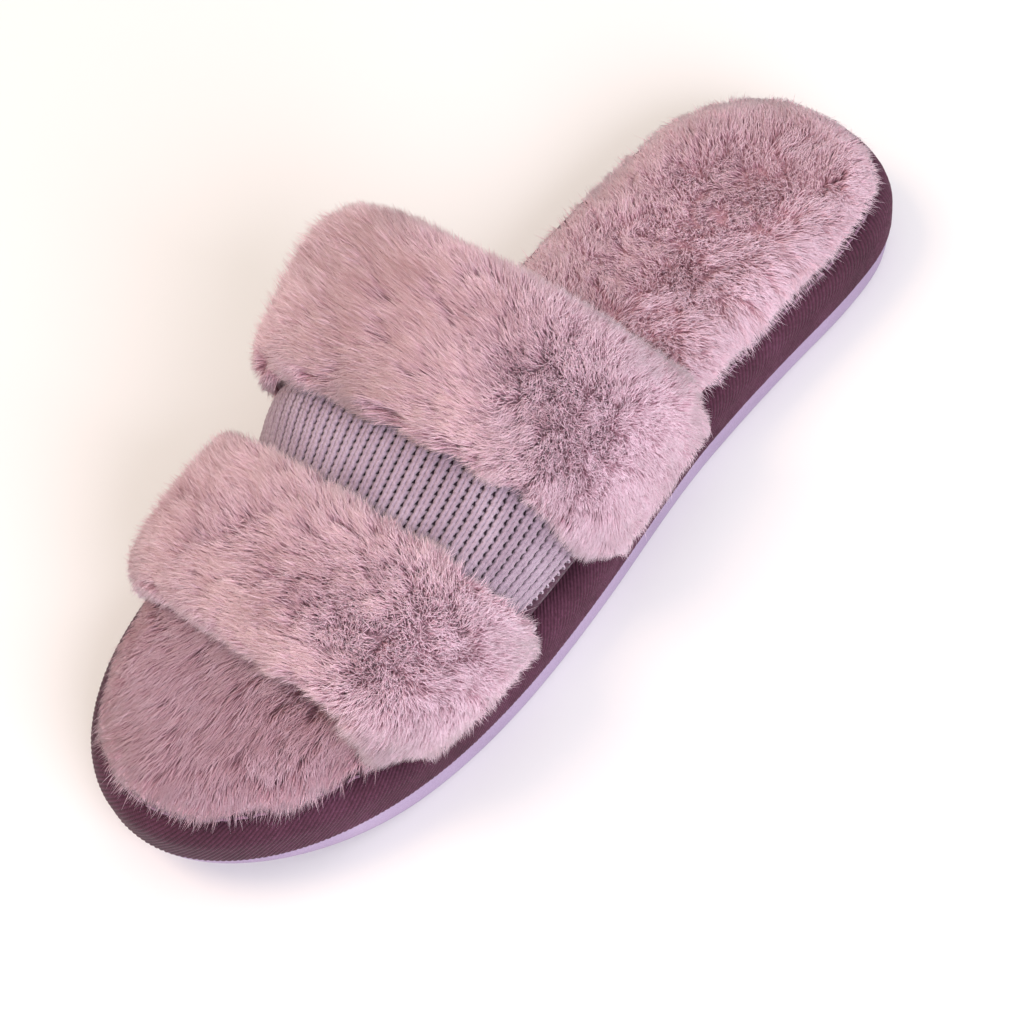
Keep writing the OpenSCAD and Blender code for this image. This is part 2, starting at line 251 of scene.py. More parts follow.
def tubes(name, paths, radius, finish):
    """Closed round threads along paths (n, k, 3); radius is one number or k of them."""
    sides = 6
    paths = np.asarray(paths, float)
    count, length, _ = paths.shape
    radius = np.broadcast_to(np.asarray(radius, float), (count, length))
    tangents = path_tangents(paths)
    reference = np.where(np.abs(tangents[:, :1, 2:3]) < 0.8,
                         np.array([[[0, 0, 1.0]]]), np.array([[[1.0, 0, 0]]]))
    points = path_rings(paths, tangents, reference, radius, sides)
    base = (np.arange(count) * length * sides)[:, None]
    walls = (grid_faces(length, sides, close_cols=True)[None] + base[:, :, None]).reshape(-1, 4)
    start = np.arange(sides)[None] + base
    end = start[:, ::-1] + (length - 1) * sides
    return make(name, points, [walls[:, ::-1], start, end], finish)


def shell(name, section, angles, finish, drop=0.0):
    """Closed section swept over the foot; section(angle) gives its fore and out."""
    rows = []
    for angle in angles:
        fore, out = section(angle)
        rows.append(arch(fore, angle, out, drop))
    points = np.array(rows)
    count, size, _ = points.shape
    walls = grid_faces(count, size, close_cols=True)[:, ::-1]
    start = np.arange(size)[None, :]
    return make(name, points, [walls, start, start[:, ::-1] + (count - 1) * size], finish)


def slab(name, loops, angles, finish, cap_cols=6, top=None, bottom=None):
    """Closed slab round the sole. loops are (inset, z) from the bottom cap's edge to the top
    cap's, z a number or a function of the angles. angles run 0..180 and serve both sides.
    top and bottom reshape the inner points of a cap."""
    count = len(angles)
    around = np.concatenate([angles, 360 - angles[-2:0:-1]])
    total = len(around)
    rims = [ring(around, inset, z(around) if callable(z) else z) for inset, z in loops]

    def cap(rim, start, base, reshape):
        near, far = rim[1:count - 1], rim[total - 1:count - 1:-1]
        share = np.arange(1, cap_cols) / cap_cols
        inner = near[:, None] + (far - near)[:, None] * share[None, :, None]
        if reshape is not None:
            inner = reshape(inner)
        inner = inner.reshape(-1, 3)
        index = np.zeros((count - 2, cap_cols + 1), int)
        index[:, 0] = start + np.arange(1, count - 1)
        index[:, -1] = start + total - np.arange(1, count - 1)
        index[:, 1:-1] = base + np.arange(len(inner)).reshape(count - 2, cap_cols - 1)
        quads = np.stack([index[:-1, :-1], index[1:, :-1], index[1:, 1:], index[:-1, 1:]], -1)
        toe = np.stack([np.full(cap_cols, start), index[0, :-1], index[0, 1:]], -1)
        heel = np.stack([np.full(cap_cols, start + count - 1), index[-1, 1:], index[-1, :-1]], -1)
        return inner, [quads.reshape(-1, 4), toe, heel]

    base = len(rims) * total
    low, low_faces = cap(rims[0], 0, base, bottom)
    high, high_faces = cap(rims[-1], base - total, base + len(low), top)
    faces = [grid_faces(len(rims), total, close_cols=True)]
    faces += [block[:, ::-1] for block in low_faces] + high_faces
    return make(name, np.concatenate(rims + [low, high]), faces, finish)


# ---------------------------------------------------------------- noise and tufts
LATTICE = np.random.default_rng(5).random((64, 64))
TUFTS = np.random.default_rng(9).random((128, 128, 4))


def soft_noise(x, y, cell, offset=0.0):
    """Smooth noise from -1 to 1 on a square lattice."""
    x = np.asarray(x, float) / cell + 17.3 + offset
    y = np.asarray(y, float) / cell + 31.7 + offset * 1.7
    col, row = np.floor(x).astype(int), np.floor(y).astype(int)
    x, y = x - col, y - row
    x, y = x * x * (3 - 2 * x), y * y * (3 - 2 * y)

    def at(i, j):
        return LATTICE[i % 64, j % 64]

    return ((at(col, row) * (1 - x) + at(col + 1, row) * x) * (1 - y)
            + (at(col, row + 1) * (1 - x) + at(col + 1, row + 1) * x) * y) * 2 - 1


def nearest_tuft(x, y, cell, offset):
    """Centre x and y of the nearest tuft, and two random numbers that belong to it."""
    col, row = np.floor(x / cell).astype(int), np.floor(y / cell).astype(int)
    best = np.full(x.shape, 1e9)
    found = [np.zeros_like(x) for _ in range(4)]
    for step_x in (-1, 0, 1):
        for step_y in (-1, 0, 1):
            i, j = col + step_x, row + step_y
            jitter = TUFTS[(i + offset) % 128, (j + offset * 3) % 128]
            tuft_x, tuft_y = (i + jitter[:, 0]) * cell, (j + jitter[:, 1]) * cell
            distance = (tuft_x - x) ** 2 + (tuft_y - y) ** 2
            closer = distance < best
            best = np.where(closer, distance, best)
            for kept, value in zip(found, (tuft_x, tuft_y, jitter[:, 2], jitter[:, 3])):
                kept[closer] = value[closer]
    return found


def tuft_pull(random, x, y, big, small):
    """How big and small tufts, each (cell, offset), draw hair tips together. Returns the
    moves in x and y, the length numbers of both tufts and the change of shade."""
    big_x, big_y, big_length, big_tone = nearest_tuft(x, y, *big)
    small_x, small_y, small_length, small_tone = nearest_tuft(x, y, *small)
    moves = [(big_at - at) * 0.20 + (small_at - at) * 0.34 + (number - 0.5) * 2.2
             + random.normal(0, 0.85, len(x))
             for at, big_at, small_at, number in ((x, big_x, small_x, big_length),
                                                  (y, big_y, small_y, big_tone))]
    tone = 0.28 * (small_tone - 0.5) + 0.24 * (big_tone - 0.5)
    return moves[0], moves[1], big_length, small_length, tone


# ---------------------------------------------------------------- hairs
HAIR_STEPS = 3
HAIR_TAPER = np.array([1.0, 0.95, 0.72])    # radius share at each step before the tip
HAIRS_PER_PIECE = 12000


def name_seed(name):
    seed = 7
    for letter in name:
        seed = (seed * 31 + ord(letter)) % 1000003
    return seed


def hair_radius(random, fine):
    return random.uniform(0.075, 0.13, len(fine)) * np.where(fine, 0.8, 1.0)


def hairs(name, paths, radius, shade):
    """Closed tapered hairs; the last point of a path is the tip. UV u is the shade, random tone
    with painted highlight and shade, and v runs from root to tip. Returns the pieces."""
    count, steps = len(paths), HAIR_STEPS
    random = np.random.default_rng(name_seed(name))
    order = random.permutation(count)
    tip = steps * 3
    walls = grid_faces(steps, 3, close_cols=True)[:, ::-1]
    ends = np.array([[tip - 3 + (j + 1) % 3, tip - 3 + j, tip] for j in range(3)] + [[0, 1, 2]])
    along = np.linspace(0.02, 0.98, steps + 1)
    pieces = []
    parts = max(1, math.ceil(count / HAIRS_PER_PIECE))
    for part in range(parts):
        chosen = order[part::parts]
        path, tone = paths[chosen], shade[chosen]
        size = len(chosen)
        rings = path_rings(path, path_tangents(path), random.normal(size=(size, 1, 3)),
                           radius[chosen][:, None] * HAIR_TAPER[None], 3)
        points = np.concatenate([rings.reshape(size, tip, 3), path[:, steps:]], 1)
        base = (np.arange(size) * (tip + 1))[:, None, None]
        faces = [(walls[None] + base).reshape(-1, 4), (ends[None] + base).reshape(-1, 3)]
        tones = np.clip(tone[:, None, None] + np.array([-0.015, 0, 0.015]), 0.01, 0.99)
        uv = np.zeros((size, tip + 1, 2))
        uv[:, :tip, 0] = np.broadcast_to(tones, (size, steps, 3)).reshape(size, -1)
        uv[:, :tip, 1] = np.repeat(along[:steps], 3)[None]
        uv[:, tip, 0] = tone
        uv[:, tip, 1] = along[steps]
        pieces.append(make(f"{name}_{part + 1}", points, faces, FUR, uv=uv.reshape(-1, 2)))
    return pieces


# ---------------------------------------------------------------- material helpers
def new_material(name):
    material = bpy.data.materials.new(name)
    material.use_nodes = True
    tree = material.node_tree
    return material, tree, tree.nodes["Principled BSDF"]


def set_inputs(tree, target, inputs):
    """Links the sockets and sets the plain values in inputs."""
    for key, value in inputs.items():
        if isinstance(value, bpy.types.NodeSocket):
            tree.links.new(value, target.inputs[key])
        else:
            target.inputs[key].default_value = value


def add_node(tree, kind, inputs=None, **settings):
    added = tree.nodes.new(kind)
    for key, value in settings.items():
        setattr(added, key, value)
    set_inputs(tree, added, inputs or {})
    return added


def object_coords(tree):
    return add_node(tree, "ShaderNodeTexCoord").outputs["Object"]


def attribute(tree, name):
    return add_node(tree, "ShaderNodeAttribute", attribute_name=name).outputs["Fac"]


def noise(tree, vector, scale, detail, roughness):
    return add_node(tree, "ShaderNodeTexNoise", {
        "Scale": scale, "Detail": detail, "Roughness": roughness,
        "Vector": vector}).outputs["Fac"]


def calc(tree, operation, first, second):
    return add_node(tree, "ShaderNodeMath", {0: first, 1: second},
                    operation=operation).outputs[0]


def weighted(tree, first, first_share, second, second_share):
    return calc(tree, "ADD", calc(tree, "MULTIPLY", first, first_share),
                calc(tree, "MULTIPLY", second, second_share))


def mix(tree, factor, first, second, mode="MIX"):
    """Inputs 0, 6 and 7 are the factor and the two colours."""
    return add_node(tree, "ShaderNodeMix", {0: factor, 6: first, 7: second},
                    data_type="RGBA", blend_type=mode).outputs[2]


def ramp(tree, factor, stops):
    added = add_node(tree, "ShaderNodeValToRGB", {0: factor})
    elements = added.color_ramp.elements
    elements[0].position, elements[0].color = stops[0]
    elements[1].position, elements[1].color = stops[-1]
    for position, color in stops[1:-1]:
        elements.new(position).color = color
    return added.outputs[0]


def srgb(color):
    """Linear RGBA from 0..255 sRGB."""
    return tuple(((c / 255 + 0.055) / 1.055) ** 2.4 if c / 255 > 0.04045 else c / 255 / 12.92
                 for c in color) + (1.0,)


def three_tone(tree, factor, tones):
    """Ramp through a dark, a middle and a light sRGB tone."""
    return ramp(tree, factor, list(zip((0.3, 0.5, 0.72), map(srgb, tones))))


def map_range(tree, value, low, high):
    """Spreads 0..1 over low..high; inputs 3 and 4 are the new limits."""
    return add_node(tree, "ShaderNodeMapRange", {0: value, 3: low, 4: high}).outputs[0]


def bump(tree, height, distance, strength):
    return add_node(tree, "ShaderNodeBump", {
        "Distance": distance, "Strength": strength, "Height": height}).outputs[0]


# ---------------------------------------------------------------- materials
def cloth(name, tones, fine_scale, broad_scale, slot=None, rough=(0.75, 0.95),
          depth=0.0002, sheen=0.3, weave=True):
    """Mottled cloth; weave adds diagonal bands to its relief. The slot is the name unless
    it is given."""
    material, tree, shader = new_material(name)
    coords = object_coords(tree)
    fine = noise(tree, coords, fine_scale, detail=4, roughness=0.6)
    broad = noise(tree, coords, broad_scale, detail=3, roughness=0.55)
    height = fine
    if weave:
        bands = add_node(tree, "ShaderNodeTexWave",
                         {"Scale": fine_scale * 0.5, "Distortion": 1.2, "Vector": coords},
                         wave_type="BANDS", bands_direction="DIAGONAL")
        height = weighted(tree, bands.outputs["Fac"], 0.6, fine, 0.6)
    set_inputs(tree, shader, {
        "Base Color": three_tone(tree, weighted(tree, fine, 0.55, broad, 0.45), tones),
        "Roughness": map_range(tree, fine, *rough),
        "Sheen Weight": sheen,
        "Sheen Roughness": 0.5,
        "Normal": bump(tree, height, distance=depth, strength=0.8)})
    return material, slot or name


def foam(name, tones):
    """Fine-celled foam, lighter on its raised edges."""
    material, tree, shader = new_material(name)
    coords = object_coords(tree)
    fine = noise(tree, coords, 2600, detail=3, roughness=0.6)
    broad = noise(tree, coords, 30, detail=3, roughness=0.5)
    pointiness = add_node(tree, "ShaderNodeNewGeometry").outputs["Pointiness"]
    edge = calc(tree, "MULTIPLY", calc(tree, "SUBTRACT", pointiness, 0.5), 1.2)
    factor = calc(tree, "ADD", weighted(tree, fine, 0.5, broad, 0.5), edge)
    cells = add_node(tree, "ShaderNodeTexVoronoi", {"Scale": 1500, "Vector": coords})
    height = calc(tree, "ADD", calc(tree, "MULTIPLY", cells.outputs["Distance"], 0.6), fine)
    set_inputs(tree, shader, {
        "Base Color": three_tone(tree, factor, tones),
        "Roughness": map_range(tree, broad, 0.5, 0.72),
        "Normal": bump(tree, height, distance=0.0001, strength=0.7)})
    return material, name


def pile_hair():
    """Colour comes from the hair's UV: v root to tip, u its shade, which holds random tone
    together with painted highlight and painted shade.
    """
    material, tree, shader = new_material("pile_hair")
    uv = add_node(tree, "ShaderNodeUVMap", uv_map="OFBake")
    split = add_node(tree, "ShaderNodeSeparateXYZ", {0: uv.outputs[0]})
    along = ramp(tree, split.outputs[1], [(0.0, srgb((196, 144, 156))),
                                          (0.45, srgb((210, 167, 181))),
                                          (1.0, srgb((243, 222, 231)))])
    # u scales the colour down and up: random tone plus the painted highlight and shade set per
    # hair.
    shade = ramp(tree, split.outputs[0], [(0.0, (0.76, 0.64, 0.66, 1)), (0.5, (1, 1, 1, 1)),
                                          (1.0, (1.24, 1.28, 1.28, 1))])
    set_inputs(tree, shader, {
        "Base Color": mix(tree, 1.0, along, shade, "MULTIPLY"),
        "Roughness": 0.75,
        "Specular IOR Level": 0.15,
        "Sheen Weight": 0.12,
        "Sheen Roughness": 0.4})
    return material, "faux_fur"


def shader_and_color(tree):
    shader = tree.nodes["Principled BSDF"]
    return shader, shader.inputs["Base Color"].links[0].from_socket


def paint_shade_between_ribs(material):
    tree = material.node_tree
    shader, plain = shader_and_color(tree)
    # Painted shade: the twill is darker in the grooves between the ribs; the slub noise is real
    # yarn variation.
    dark = mix(tree, 1.0, plain, (0.55, 0.48, 0.52, 1), "MULTIPLY")
    slub = noise(tree, object_coords(tree), 700, detail=2, roughness=0.5)
    raised = calc(tree, "MULTIPLY", attribute(tree, "rib"), calc(tree, "ADD", slub, 0.55))
    set_inputs(tree, shader, {
        "Specular IOR Level": 0.2,
        "Base Color": mix(tree, calc(tree, "POWER", raised, 0.8), dark, plain)})


def paint_gap_shade(material):
    tree = material.node_tree
    shader, plain = shader_and_color(tree)
    # Painted shade: the underfur turns near black where the bare weight is 1, in the gap under
    # the knit's edge.
    dark = mix(tree, 1.0, plain, (0.16, 0.10, 0.15, 1), "MULTIPLY")
    set_inputs(tree, shader, {"Base Color": mix(tree, attribute(tree, "bare"), plain, dark)})


FUR = pile_hair()
UNDERFUR = cloth("pile_underfur", [(176, 144, 154), (192, 161, 170), (208, 179, 188)],
                 1400, 120, slot="faux_fur", depth=0.0006, weave=False)
TWILL = cloth("wrap_twill", [(54, 24, 38), (80, 41, 60), (105, 62, 86)],
              1500, 60, rough=(0.6, 0.85), depth=0.00012, sheen=0.1)
paint_shade_between_ribs(TWILL[0])
LINING = cloth("lining_cloth", [(188, 160, 174), (214, 190, 202), (228, 208, 218)],
               1100, 50, depth=0.00015)
THREAD = cloth("seam_thread", [(100, 66, 88), (126, 88, 112), (150, 112, 136)],
               2500, 200, depth=0.00008)
OVERLOCK = cloth("overlock_thread", [(160, 138, 156), (186, 166, 182), (206, 190, 204)],
                 2500, 200, depth=0.00008)
YARN = cloth("knit_yarn", [(138, 116, 132), (165, 144, 159), (188, 170, 184)],
             2200, 90, rough=(0.7, 0.95), depth=0.00016, sheen=0.4)
ELASTIC = cloth("elastic_cloth", [(104, 78, 98), (124, 98, 118), (142, 116, 136)], 1200, 60)
PADDING = cloth("footbed_foam_grain", [(226, 222, 210), (240, 236, 226), (247, 244, 236)],
                1800, 60, slot="padding_foam", sheen=0.0, weave=False)
BOARD = cloth("board_fibre", [(170, 146, 112), (196, 174, 140), (212, 192, 160)],
              1500, 45, slot="insole_board", sheen=0.0, weave=False)
SOCK = cloth("sock_underfur", [(178, 134, 146), (195, 152, 164), (212, 171, 182)],
             1400, 120, slot="faux_fur", depth=0.0006, weave=False)
paint_gap_shade(SOCK[0])
OUTSOLE = foam("outsole_foam", [(140, 122, 148), (158, 140, 168), (174, 157, 184)])
PLATFORM = foam("platform_foam", [(222, 214, 218), (236, 230, 232), (246, 242, 244)])

# ---------------------------------------------------------------- how pieces move
FORWARD = unit(np.cross(HINGE_AXIS, [0, 0, 1.0]))
if FORWARD[1] > 0:
    FORWARD = -FORWARD


def flexes(piece, *cad_names, half=FLEX_ZONE, tilt=0.0):
    """Stands in for the CAD pieces: hides them and applies the piece's transform to its mesh."""
    if cad_names:
        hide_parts(*cad_names)
    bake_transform(piece)


def flexes_pair(piece, stem):
    flexes(piece, f"{stem}_rear", f"{stem}_fore")


def rides(piece, cad_name, body):
    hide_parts(cad_name)
    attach(piece, body)


# ---------------------------------------------------------------- outsole with its tread
TREAD_INSET = 2.1
TREAD_DEPTH = 1.6
GROOVES_Y = np.arange(-95, 106, 10.0)       # cross grooves, 2 mm wide
GROOVE_EDGES = (-1.15, -1.0, 1.0, 1.15)
CHANNELS_X = (12.8, -11.2)                  # outer edges of the two long channels
CHANNEL_EDGES = (0.05, -0.1, -1.7, -1.85)


def tread_stations():
    """y of the stations, with some on both sides of every groove wall."""
    end = HALF_LENGTH - TREAD_INSET
    stations = set(np.round(np.linspace(-end, end, 150), 3))
    for groove in GROOVES_Y:
        stations.update(round(groove + edge, 3) for edge in GROOVE_EDGES)
    stations = np.array(sorted(stations))
    walls = np.concatenate([GROOVES_Y + edge for edge in GROOVE_EDGES])
    kept = [stations[0]]
    for y in stations[1:]:
        gap = np.min(np.abs(walls - y))
        if gap < 1e-3 or (y - kept[-1] > 0.12 and gap > 0.4):
            kept.append(y)
    kept[0], kept[-1] = -end, end
    return np.array(kept)


TREAD_Y = tread_stations()


def toe_cut(y):
    """Rise of the underside toward the toe."""
    return 4.6 * ease(-72, -122, y) ** 1.2


def cut_tread(points):
    cols = points.shape[1]
    shares = np.arange(1, cols + 1) / (cols + 1)
    # the columns nearest the channel edges snap to them
    usual_x = 36.0 - 72.0 * shares
    edges = [channel + edge for channel in CHANNELS_X for edge in CHANNEL_EDGES]
    snapped = []
    for edge in edges:
        order = np.argsort(np.abs(usual_x - edge))
        snapped.append(next(col for col in order if col not in snapped))
    snapped.sort()
    edges.sort(reverse=True)
    step = points[:, 0] - points[:, 1]
    near, far = points[:, 0] + step, points[:, -1] - step
    station = points[:, 0, 1]
    weight = ease(-106, -97, station) * (1 - ease(108, 116, station))
    for row in range(len(points)):
        near_x, far_x = near[row, 0], far[row, 0]
        new_x = np.interp(np.arange(cols), [-1] + snapped + [cols], [near_x] + edges + [far_x])
        moved = (near_x - new_x) / (near_x - far_x)
        share = shares + (moved - shares) * weight[row]
        points[row] = near[row] + (far[row] - near[row]) * share[:, None]
    x, y = points[:, :, 0], points[:, :, 1]
    cut = np.min(np.abs(TREAD_Y[1:-1, None] - GROOVES_Y[None]), 1) < 1.05
    cut = np.repeat(cut[:, None], cols, 1)
    for channel in CHANNELS_X:
        cut |= (x < channel - 0.02) & (x > channel - 1.78) & (weight[:, None] > 0.99)
    cut[:, [0, -1]] = False
    points[:, :, 2] = toe_lift(y) + toe_cut(y) + TREAD_DEPTH * cut + 0.05 * soft_noise(x, y, 9)
    return points


def cut_height(height, share):
    return lambda around: height + share * toe_cut(ring(around, 1.2, 0.0)[:, 1])


# inset, height, share of the toe cut
OUTSOLE_LOOPS = [
    (TREAD_INSET, 0.0, 1.0), (1.35, 0.16, 1.0), (0.85, 0.75, 0.95), (0.6, 2.4, 0.7),
    (0.62, 3.8, 0.5), (0.65, 5.4, 0.25), (0.9, 6.9, 0.05),
    (1.6, OUTSOLE_TOP - 0.02, 0.0), (2.6, OUTSOLE_TOP, 0.0)]
tread_angles = np.degrees(np.arccos(np.clip(-TREAD_Y / (HALF_LENGTH - TREAD_INSET), -1, 1)))
outsole = slab("outsole", [(inset, cut_height(z, share)) for inset, z, share in OUTSOLE_LOOPS],
               tread_angles, OUTSOLE, cap_cols=40, bottom=cut_tread)
flexes_pair(outsole, "outsole")

# ---------------------------------------------------------------- inner sole layers
STATIONS = np.linspace(0, 180, 181)
# name, finish, loops of (inset, z)
SOLE_LAYERS = [
    ("midsole", PLATFORM, [
        (9.3, OUTSOLE_TOP + 0.12), (9.3, OUTSOLE_TOP + 1.45), (1.5, OUTSOLE_TOP + 1.45),
        (1.4, OUTSOLE_TOP + 3), (1.4, WRAP_TOP - 5.2), (2.6, WRAP_TOP - 2.4),
        (5.2, WRAP_TOP - 1.4)]),
    ("insole_board", BOARD, [(8.8, WRAP_TOP - 1.15), (8.8, WRAP_TOP + 0.05)]),
    ("footbed_foam", PADDING, [
        (9.0, WRAP_TOP + 0.2), (9.0, WRAP_TOP + 2.3), (9.8, WRAP_TOP + 3.0)])]
for name, finish, loops in SOLE_LAYERS:
    flexes_pair(slab(name, loops, STATIONS, finish), name)

# ---------------------------------------------------------------- platform wrap
RIB_PITCH = 1.30
RIB_PROFILE = np.array([0.0, 0.62, 1.0, 0.85, 0.35])     # heights across one rib
RIB_HEIGHT = 0.24
RIB_SLANT = 0.95                            # shift along the edge per mm up the section


def corner_arc(radius, degrees):
    return [(CORNER - radius * math.cos(t * DEG), WRAP_TOP - CORNER + radius * math.sin(t * DEG))
            for t in degrees]


def platform_wrap():
    """Ribbed skin round the edge; its section is (inset, z), outside first."""
    section = [(9.0, OUTSOLE_TOP + 0.1), (0.75, OUTSOLE_TOP + 0.1),
               (0.3, OUTSOLE_TOP + 0.3), (0.06, OUTSOLE_TOP + 0.85)]
    section += [(0.0, z) for z in np.linspace(OUTSOLE_TOP + 1.6, WRAP_TOP - CORNER, 6)]
    section += corner_arc(CORNER, np.linspace(9, 90, 10))
    section += [(inset, WRAP_TOP) for inset in (6.2, 7.3, 8.5)]
    last_outer = len(section) - 1
    section.append((8.5, WRAP_TOP - WRAP_GAUGE))
    section += corner_arc(CORNER - WRAP_GAUGE, (90, 60, 30, 0))
    section += [(WRAP_GAUGE, OUTSOLE_TOP + 1.3), (9.0, OUTSOLE_TOP + 1.3)]
    heights = run_lengths(np.array(section))
    cols = int(round(PERIMETER / RIB_PITCH)) * len(RIB_PROFILE)
    profile = RIB_PROFILE[np.arange(cols) % len(RIB_PROFILE)]
    runs = np.arange(cols) * (PERIMETER / cols)
    random = np.random.default_rng(3)
    rows = []
    for k, (inset, z) in enumerate(section):
        shear = (min(heights[k], heights[last_outer]) - heights[2]) * RIB_SLANT
        row = ring(run_to_angle(runs + shear), inset, z)
        if 1 <= k < last_outer:             # only the outside is ribbed
            upward = min(1, max(0, (z - WRAP_TOP + CORNER) / CORNER))
            outward = math.sqrt(1 - upward ** 2)
            along = np.roll(row, -1, 0) - np.roll(row, 1, 0)
            normal = unit(np.stack([along[:, 1], -along[:, 0], np.zeros(cols)], -1), 1e-9)
            rib = profile * RIB_HEIGHT * (0.85 + 0.3 * random.random(cols))
            rib = rib + 0.10 * soft_noise(runs, np.full(cols, k * 3.0), 14)
            row = (row + normal * (rib * outward)[:, None]
                   + np.array([0, 0, 1.0]) * (rib * upward)[:, None])
        rows.append(row)
    faces = grid_faces(len(section), cols, close_rows=True, close_cols=True)
    wrap = make("platform_wrap", np.array(rows), [faces], TWILL)
    set_point_values(wrap, "rib", np.tile(profile, len(section)))
    flexes_pair(wrap, "platform_wrap")


platform_wrap()


# ---------------------------------------------------------------- edge stitches and tabs
def edge_stitches():
    pitch, length = 4.4, 3.3
    starts = np.arange(0, PERIMETER, pitch)
    paths = np.stack([ring(run_to_angle(starts + t * length), 4.6, WRAP_TOP + 0.25)
                      for t in np.linspace(0, 1, 6)], 1)
    paths[:, :, 2] += np.array([-0.55, 0.15, 0.42, 0.42, 0.15, -0.55])[None]
    y = paths[:, 2, 1]
    paths = paths[(y < -82) | (y > 40)]     # only round the toe and the heel
    stitches = tubes("edge_stitches", paths, [0.3, 0.38, 0.4, 0.4, 0.38, 0.3], THREAD)
    flexes_pair(stitches, "edge_stitches")


# inset and height of the tab section
TAB_SECTION = [(8, 0.12), (3.2, 0.12), (3.0, 0.3), (3.0, 0.75), (3.3, 0.95), (5.5, 1.0),
               (8, 0.95)]


def tab(band, place, side, start_y, end_y, body):
    count = 40
    stations = np.linspace(start_y, end_y, count)
    rows = []
    for inset, z in TAB_SECTION:
        x, y = outline_point(stations, side, inset)
        ripple = 0.08 * np.sin(stations * 1.9) if z > 0.3 else 0
        rows.append(np.stack([x, y, WRAP_TOP + z + toe_lift(y) + ripple], -1))
    size = len(TAB_SECTION)
    start = (np.arange(size) * count)[None]
    faces = [grid_faces(size, count, close_rows=True), start, start[:, ::-1] + count - 1]
    if side < 0:
        faces = [block[:, ::-1] for block in faces]
    piece = make(f"{band}_tab_{place}", np.array(rows), faces, LINING)
    rides(piece, f"{band}_band_tab_{place}", body)


edge_stitches()
tab("rear", "outer", 1, -6, 32, "rear_foot")
tab("rear", "inner", -1, -24, 12, "rear_foot")
tab("front", "outer", 1, -70, -40, "forefoot")
tab("front", "inner", -1, -78, -46, "forefoot")


# ---------------------------------------------------------------- bands under their pile
def lining_section(fore_0, fore_1):
    fore = np.linspace(fore_0, fore_1, 20)

    def section(angle):
        wobble = 0.12 * np.sin(fore * 0.9 + angle * 0.09)
        out = np.concatenate([np.ones(len(fore)), 0.02 + wobble + 0.14])
        return np.concatenate([fore, fore[::-1]]), out
    return section


def underfur_section(fore_0, fore_1):
    half, centre = (fore_1 - fore_0) / 2, (fore_0 + fore_1) / 2
    across = np.linspace(-1, 1, 25)
    # rolled edge: fore past the centre, and out
    lip_fore = half + np.array([1.9, 1.9, 1.5, 0.75, 0.3, 0.3])
    lip_out = np.array([3.4, 1.6, 0.5, 0.15, 0.4, 4.0])

    def section(angle):
        loft = 1 - 0.75 * ease(95, 150, angle)      # lower on the inner side
        fore = centre + across * (half + 1.2)
        dome = 3.9 * np.sqrt(np.maximum(0, 1 - np.abs(across) ** 3))
        out = 4.35 + dome * loft + 0.25 * soft_noise(fore, np.full(25, angle * 0.6), 3.5)
        fore = np.concatenate([fore, centre + lip_fore, centre - lip_fore[::-1]])
        return fore, thinned(np.concatenate([out, lip_out, lip_out[::-1]]), angle)
    return section


BAND_ANGLES = np.linspace(0, 180, 91)
# band, edges, where its seam lies, body
BANDS = [("rear", REAR_0, REAR_1, REAR_1 + 0.8, "rear_foot"),
         ("front", FRONT_0, FRONT_1, FRONT_0 - 0.8, "forefoot")]
for band, fore_0, fore_1, seam_fore, body in BANDS:
    rides(shell(f"{band}_band_lining_cloth", lining_section(fore_0, fore_1), BAND_ANGLES,
                LINING), f"{band}_band_lining", body)
    rides(shell(f"{band}_band_underfur", underfur_section(fore_0, fore_1), BAND_ANGLES,
                UNDERFUR, drop=BAND_DROP), f"{band}_band_fur", body)
    padding = frame["nodes"][f"{band}_band_padding"]
    padding.data.materials.clear()
    padding.data.materials.append(PADDING[0])
    stitches = np.stack([arch(seam_fore, np.arange(16, 158, 7.0) + t * 4.6,
                              0.55 + 0.5 * math.sin(math.pi * t))
                         for t in np.linspace(0, 1, 5)], 1)
    rides(tubes(f"{band}_band_seam", stitches, [0.3, 0.35, 0.36, 0.35, 0.3], THREAD),
          f"{band}_band_stitches", body)


# ---------------------------------------------------------------- footbed underfur
def ruffle(points):
    x, y = points[:, :, 0], points[:, :, 1]
    points[:, :, 2] += 0.35 * soft_noise(x, y, 6) + 0.25 * soft_noise(x, y, 2.8) - 0.2
    return points


def bare_gap_and_shade(x, y):
    """1 on the outer side between the two bands, where the edge of the footbed is bare of pile;
    it lowers the underfur there and weights the painted shade of the gap under the knit.
    """
    return ease(8, 14, x) * ease(-52, -45, y) * (1 - ease(-15, -8, y))


def lowered_height(inset, height, bare_height):
    def height_at(around):
        rim = ring(around, inset, 0)
        z, bare_z = WRAP_TOP + height, WRAP_TOP + bare_height
        return z + (bare_z - z) * bare_gap_and_shade(rim[:, 0], rim[:, 1])
    return height_at


# inset, height over the platform, the same in the bare patch
UNDERFUR_LOOPS = [
    (8.6, 3.3, 3.3), (8.6, 1.2, 1.2), (6.4, 1.15, 1.15), (5.9, 2.0, 1.5), (6.8, 2.9, 2.2),
    (9.0, 3.75, 3.5), (12.5, 4.8, 3.8), (18, 6.2, 4.3)]
underfur = slab("footbed_underfur", [(row[0], lowered_height(*row)) for row in UNDERFUR_LOOPS],
                STATIONS, SOCK, cap_cols=40, top=ruffle)
spots = np.zeros(len(underfur.data.vertices) * 3, np.float32)
underfur.data.vertices.foreach_get("co", spots)
spots = spots.reshape(-1, 3) * 1000.0
# The bare weight also carries the painted shade in the gap under the knit.
set_point_values(underfur, "bare", bare_gap_and_shade(spots[:, 0], spots[:, 1]))
flexes_pair(underfur, "footbed_fur")

# ---------------------------------------------------------------- distance to the sole's edge
GRID_X, GRID_Y = np.arange(-52, 53, 1.0), np.arange(-128, 129, 1.0)


